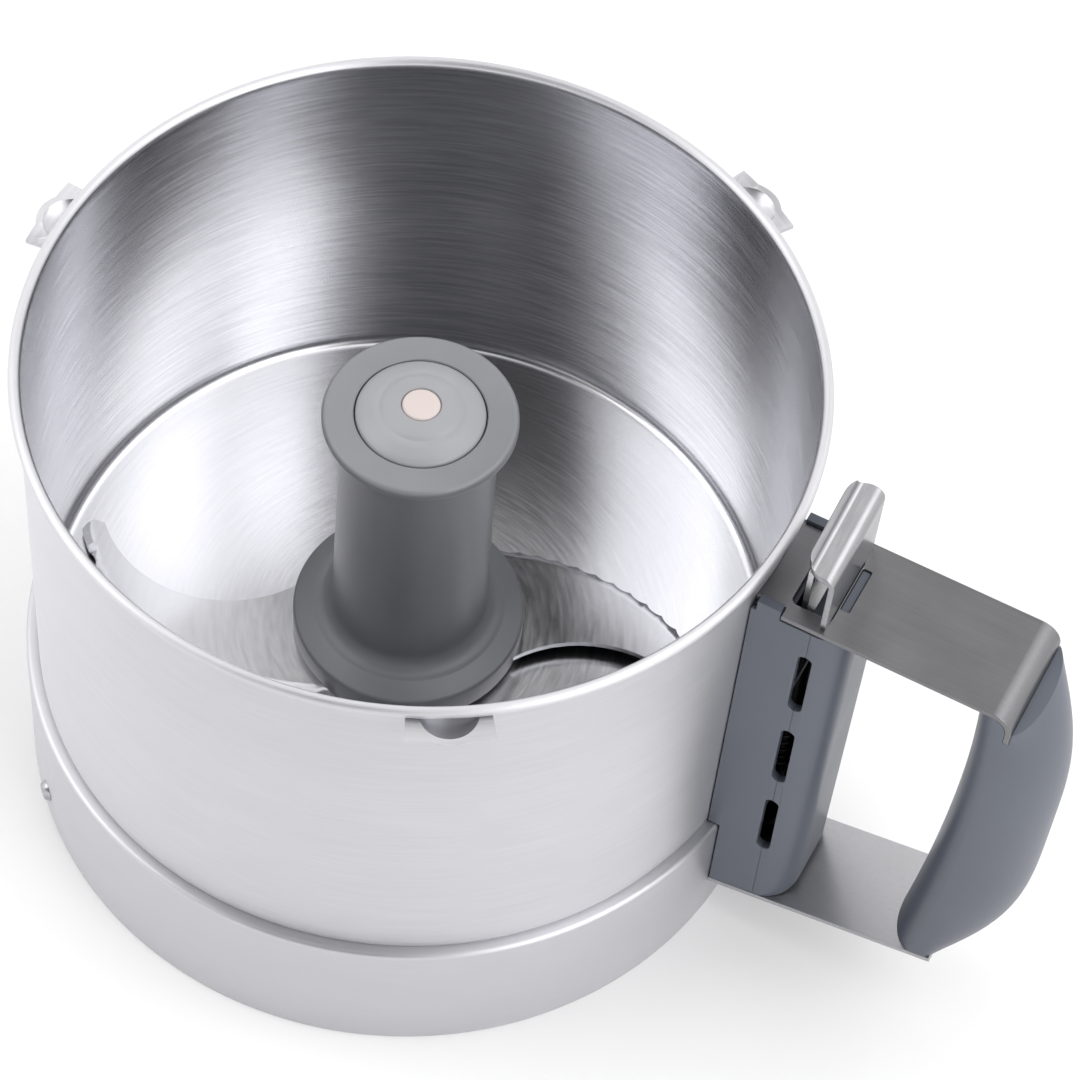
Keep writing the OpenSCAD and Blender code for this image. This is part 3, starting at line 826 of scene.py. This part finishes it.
def light_sky(world, strength):
    """Makes the world a white room with dark flags and bright panels."""
    tree = world.node_tree
    sky = Nodes(tree)
    direction = sky.node("ShaderNodeTexCoord", output="Generated")
    level = None
    for azimuth, elevation, inner, outer, gain in FLAGS:
        aim = sky.node(
            "ShaderNodeVectorMath",
            {"operation": "DOT_PRODUCT"},
            {0: direction, 1: toward(azimuth, elevation)},
            output="Value",
        )
        edges = {1: math.cos(math.radians(outer)), 2: math.cos(math.radians(inner))}
        flag = sky.node(
            "ShaderNodeMapRange",
            {"interpolation_type": "SMOOTHSTEP"},
            {0: aim, **edges, 3: 1.0, 4: 1.0 + gain},
        )
        level = flag if level is None else level * flag
    background = tree.nodes["Background"]
    tree.links.new((level * strength).socket, background.inputs["Strength"])
    background.inputs["Color"].default_value = (1.0, 0.995, 0.99, 1.0)


def lay_floor(tint):
    """A wide pale floor just below the part."""
    size, gap = 3.0, 0.0002
    mesh = bpy.data.meshes.new("Floor")
    corners = [(-size, -size, -gap), (size, -size, -gap), (size, size, -gap), (-size, size, -gap)]
    mesh.from_pydata(corners, [], [(0, 1, 2, 3)])
    white = (1.0, 1.0, 1.0, 1.0)
    pale = Finish("Pale floor", Roughness=0.9, Emission_Color=white, Emission_Strength=0.15)
    grain = pale.noise(pale.place(), 9.0, 3.0)
    pale.feed("Base Color", pale.blend(grain, shade(tint, 0.995), tint))
    mesh.materials.append(pale.material)
    link("Floor", mesh)


def hang_lamp(scene, name, place, size, power):
    """A square lamp that faces the part."""
    lamp = bpy.data.lights.new(name, "AREA")
    lamp.energy = power
    lamp.size = size
    hung = bpy.data.objects.new(name, lamp)
    hung.location = place
    direction = Vector(LAMP_AIM) - Vector(place)
    hung.rotation_euler = direction.to_track_quat("-Z", "Y").to_euler()
    scene.collection.objects.link(hung)


def place_camera(scene, lens):
    """Sets the camera in front of the part, looking down into the bowl."""
    camera = bpy.data.cameras.new("Camera")
    camera.lens = lens
    camera.sensor_width = 36.0
    camera.clip_start = 0.01
    axes = (CAMERA_RIGHT, CAMERA_UP, -Vector(CAMERA_AHEAD))
    viewer = bpy.data.objects.new("Camera", camera)
    turn = Matrix(axes).transposed().to_4x4()
    viewer.matrix_world = Matrix.Translation(CAMERA_PLACE) @ turn
    scene.collection.objects.link(viewer)
    scene.camera = viewer


# --- Operators ------------------------------------------------------------------------------


class CUTTERBOWL_OT_wall(bpy.types.Operator):
    """Turn the bowl's wall, floor and rolled rim"""

    bl_idname = "cutterbowl.wall"
    bl_label = "Bowl Wall"
    bl_options = {"REGISTER", "UNDO"}

    def execute(self, context):
        bowl = context.scene.cutter_bowl
        steel = material_named(
            "Turned steel",
            turned_steel,
            bowl.steel,
            0.22,
            contrast=0.12,
            satin=0.26,
            satin_r=bowl.wall_r - 0.0004,
            calm_z=bowl.floor_z + 0.001,
        )
        piece = turned("bowl_wall", bowl_section(bowl), True, steel, bowl.steps)
        mount(piece, "bowl", "bowl_steel", "bowl_shell")
        return {"FINISHED"}


class CUTTERBOWL_OT_skirt(bpy.types.Operator):
    """Turn the skirt with its ledge"""

    bl_idname = "cutterbowl.skirt"
    bl_label = "Skirt"
    bl_options = {"REGISTER", "UNDO"}

    def execute(self, context):
        bowl = context.scene.cutter_bowl
        tint = shade(bowl.steel, 0.93)
        steel = material_named("Skirt steel", turned_steel, tint, 0.44, line=1100.0, contrast=0.018)
        piece = turned("skirt", skirt_section(bowl), True, steel, bowl.steps)
        mount(piece, "bowl", "bowl_steel", "base_skirt")
        return {"FINISHED"}


class CUTTERBOWL_OT_lugs(bpy.types.Operator):
    """Set the dimpled lugs round the rim"""

    bl_idname = "cutterbowl.lugs"
    bl_label = "Lid Lugs"
    bl_options = {"REGISTER", "UNDO"}

    def execute(self, context):
        bowl = context.scene.cutter_bowl
        tint = shade(bowl.steel, 0.9)
        steel = material_named("Lug steel", turned_steel, tint, 0.34, line=900.0, bias=0.0)
        host = softened("lid_lug_1", "Lug", steel, LUG_EDGE)
        values = {"Count": 3, "Material": steel}
        piece = settle(host, tree_named("Ring Copies", ring_copies_tree), values, "lid_lugs")
        mount(piece, "bowl", "bowl_steel", "lid_lug_1", "lid_lug_2", "lid_lug_3")
        return {"FINISHED"}


class CUTTERBOWL_OT_base(bpy.types.Operator):
    """Finish the base ring, the tube, the bearing, the bush, the magnet and the clip"""

    bl_idname = "cutterbowl.base"
    bl_label = "Base and Bearing"
    bl_options = {"REGISTER", "UNDO"}

    def execute(self, context):
        bowl = context.scene.cutter_bowl
        ring = material_named("Base ring plastic", moulded, (0.052, 0.055, 0.062), 0.5)
        bearing = material_named("Bearing plastic", moulded, (0.70, 0.70, 0.66), 0.45)
        bush = material_named("Bush metal", turned_steel, (0.62, 0.61, 0.58), 0.32, line=1800.0)
        tube = material_named("Tube steel", turned_steel, bowl.steel, 0.18, line=1600.0)
        magnet = material_named("Magnet iron", moulded, (0.07, 0.07, 0.075), 0.42)
        dress("base_ring", ring)
        dress("drive_tube", tube)
        dress("hub_bearing", bearing)
        dress("drive_bush", bush)
        dress("rod_magnet", magnet)
        dress("rod_clip", spring_wire())
        return {"FINISHED"}


class CUTTERBOWL_OT_screws(bpy.types.Operator):
    """Finish the cross-slot screws of the skirt and the straps"""

    bl_idname = "cutterbowl.screws"
    bl_label = "Screws"
    bl_options = {"REGISTER", "UNDO"}

    def execute(self, context):
        steel = material_named("Screw steel", rolled_steel, (0.42, 0.42, 0.44), 0.3, axis=2)
        for node in ("skirt_screws", "column_screw", "grip_screw"):
            piece = softened(node, node + "_finished", steel, SCREW_EDGE)
            mount(piece, "bowl", "screw_steel", node)
        return {"FINISHED"}


class CUTTERBOWL_OT_straps(bpy.types.Operator):
    """Round and finish the two straps and the latch hook"""

    bl_idname = "cutterbowl.straps"
    bl_label = "Straps and Hook"
    bl_options = {"REGISTER", "UNDO"}

    def execute(self, context):
        bowl = context.scene.cutter_bowl
        handle = context.scene.cutter_handle
        strap = material_named("Strap steel", rolled_steel, handle.strap, 0.32)
        # The lower strap takes the same steel at about twice the tint, a lighter copy with less
        # painted dark reflection than the top strap.
        tint = shade(handle.strap, 2.05)
        lower = material_named("Lower strap steel", rolled_steel, tint, 0.34)
        tint = shade(bowl.steel, 0.56)
        brushing = {"axis": 1, "line": 700.0, "stain_and_shade_edge": 0.13}
        hook = material_named("Hook steel", rolled_steel, tint, 0.27, **brushing)
        for node, name, steel, slot in (
            ("upper_strap", "top_strap", strap, "strap_steel"),
            ("lower_strap", "bottom_strap", lower, "strap_steel"),
            ("latch_hook", "hook", hook, "bowl_steel"),
        ):
            mount(softened(node, name, steel, handle.edge, clamp=False), "bowl", slot, node)
        return {"FINISHED"}


class CUTTERBOWL_OT_column(bpy.types.Operator):
    """Round and finish the two halves of the moulded column"""

    bl_idname = "cutterbowl.column"
    bl_label = "Column"
    bl_options = {"REGISTER", "UNDO"}

    def execute(self, context):
        plastic = handle_plastic(context.scene.cutter_handle)
        for node in ("column_inner", "column_outer"):
            piece = softened(node, node + "_half", plastic, COLUMN_EDGE, clamp=False)
            mount(piece, "bowl", "handle_plastic", node)
        return {"FINISHED"}


class CUTTERBOWL_OT_grip(bpy.types.Operator):
    """Loft the moulded grip between the straps"""

    bl_idname = "cutterbowl.grip"
    bl_label = "Grip"
    bl_options = {"REGISTER", "UNDO"}

    def execute(self, context):
        handle = context.scene.cutter_handle
        lip, shelf = handle.lip_x, handle.shelf_z
        count, steps = 36, 80
        rings = []
        for k in range(steps + 1):
            z = GRIP_LOW + (GRIP_HIGH - GRIP_LOW) * k / steps
            rings.append([Vector(point) * MM for point in grip_ring(z, count)])
        cutters = [
            block((lip, -0.1, shelf), (0.3, 0.1, 0.3)),
            strap_bend(lip),
            block((lip - 0.0015, -0.1, 0.1326), (lip + 0.0001, 0.1, 0.1365)),
            foot_cut(),
        ]
        piece = cut_away(loft("grip", rings), cutters)
        shaped = bmesh.new()
        shaped.from_mesh(piece.data)
        bmesh.ops.remove_doubles(shaped, verts=shaped.verts, dist=WELD)
        round_edges(shaped, 40, GRIP_EDGE)
        shaped.to_mesh(piece.data)
        shaped.free()
        piece.data.materials.clear()
        piece.data.materials.append(handle_plastic(handle))
        piece = weigh_normals(piece)
        mount(piece, "bowl", "handle_plastic", "handle_grip")
        return {"FINISHED"}


class CUTTERBOWL_OT_rod(bpy.types.Operator):
    """Round and finish the safety rod, and finish its spring"""

    bl_idname = "cutterbowl.rod"
    bl_label = "Safety Rod"
    bl_options = {"REGISTER", "UNDO"}

    def execute(self, context):
        steel = material_named("Rod steel", rod_steel, (0.50, 0.50, 0.51), 0.26)
        rod = softened("safety_rod", "rod", steel, ROD_EDGE)
        mount(rod, "safety_rod", "strap_steel", "safety_rod")
        spring = softened("rod_spring", "coil_spring", spring_wire(), 0.0)
        mount(spring, "bowl", "screw_steel", "rod_spring")
        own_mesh(spring)
        return {"FINISHED"}


class CUTTERBOWL_OT_hub(bpy.types.Operator):
    """Turn the hub, its cap and its plug"""

    bl_idname = "cutterbowl.hub"
    bl_label = "Hub"
    bl_options = {"REGISTER", "UNDO"}

    def execute(self, context):
        bowl = context.scene.cutter_bowl
        hub = context.scene.cutter_hub
        body = material_named("Hub plastic", moulded, hub.plastic, 0.34)
        cap = material_named("Cap plastic", moulded, hub.cap, 0.36)
        plug = material_named("Plug plastic", moulded, hub.plug, 0.40)
        piece = turned("hub", hub_section(hub), True, body, bowl.steps)
        mount(piece, "blade", "hub_plastic", "blade_hub")
        piece = turned("cap", cap_section(hub), True, cap, bowl.steps)
        mount(piece, "blade", "cap_plastic", "hub_cap")
        piece = turned("plug", plug_section(hub), False, plug, PLUG_STEPS)
        mount(piece, "blade", "plug_plastic", "cap_plug")
        return {"FINISHED"}


class CUTTERBOWL_OT_blades(bpy.types.Operator):
    """Round and finish the two serrated blades"""

    bl_idname = "cutterbowl.blades"
    bl_label = "Blades"
    bl_options = {"REGISTER", "UNDO"}

    def execute(self, context):
        hub = context.scene.cutter_hub
        brushing = {"line": 700.0, "contrast": 0.03}
        steel = material_named("Blade steel", turned_steel, hub.blade, 0.17, **brushing)
        for node in ("upper_blade", "lower_blade"):
            piece = softened(node, node + "_ground", steel, BLADE_EDGE)
            mount(piece, "blade", "blade_steel", node)
        return {"FINISHED"}


class CUTTERBOWL_OT_stage(bpy.types.Operator):
    """Lay the floor and set the lights and the camera"""

    bl_idname = "cutterbowl.stage"
    bl_label = "Stage"
    bl_options = {"REGISTER", "UNDO"}

    def execute(self, context):
        stage = context.scene.cutter_stage
        lay_floor(stage.floor)
        world = bpy.data.worlds.new("Studio")
        world.use_nodes = True
        context.scene.world = world
        light_sky(world, stage.sky)
        context.scene.view_settings.view_transform = "Standard"
        for name, place, size, share in LAMPS:
            hang_lamp(context.scene, name, place, size, stage.key * share)
        place_camera(context.scene, stage.lens)
        return {"FINISHED"}


SETTINGS = {
    "cutter_bowl": BowlSettings,
    "cutter_handle": HandleSettings,
    "cutter_hub": HubSettings,
    "cutter_stage": StageSettings,
}

STEPS = (
    CUTTERBOWL_OT_stage,
    CUTTERBOWL_OT_wall,
    CUTTERBOWL_OT_skirt,
    CUTTERBOWL_OT_lugs,
    CUTTERBOWL_OT_base,
    CUTTERBOWL_OT_screws,
    CUTTERBOWL_OT_straps,
    CUTTERBOWL_OT_column,
    CUTTERBOWL_OT_grip,
    CUTTERBOWL_OT_rod,
    CUTTERBOWL_OT_hub,
    CUTTERBOWL_OT_blades,
)


class CUTTERBOWL_PT_pieces(bpy.types.Panel):
    """The steps and sizes of the cutter bowl"""

    bl_idname = "CUTTERBOWL_PT_pieces"
    bl_label = "Cutter Bowl"
    bl_space_type = "VIEW_3D"
    bl_region_type = "UI"
    bl_category = "Cutter Bowl"

    def draw(self, context):
        for step in STEPS:
            self.layout.operator(step.bl_idname)
        for name in SETTINGS:
            group = getattr(context.scene, name)
            column = self.layout.column(align=True)
            for key in group.__annotations__:
                column.prop(group, key)


def register():
    for name, group in SETTINGS.items():
        bpy.utils.register_class(group)
        setattr(bpy.types.Scene, name, PointerProperty(type=group))
    for step in STEPS:
        bpy.utils.register_class(step)
    bpy.utils.register_class(CUTTERBOWL_PT_pieces)


def unregister():
    bpy.utils.unregister_class(CUTTERBOWL_PT_pieces)
    for step in reversed(STEPS):
        bpy.utils.unregister_class(step)
    for name, group in SETTINGS.items():
        delattr(bpy.types.Scene, name)
        bpy.utils.unregister_class(group)


def main():
    """Builds every piece in order."""
    register()
    for step in STEPS:
        area, action = step.bl_idname.split(".")
        getattr(getattr(bpy.ops, area), action)()


if __name__ == "__main__":
    main()
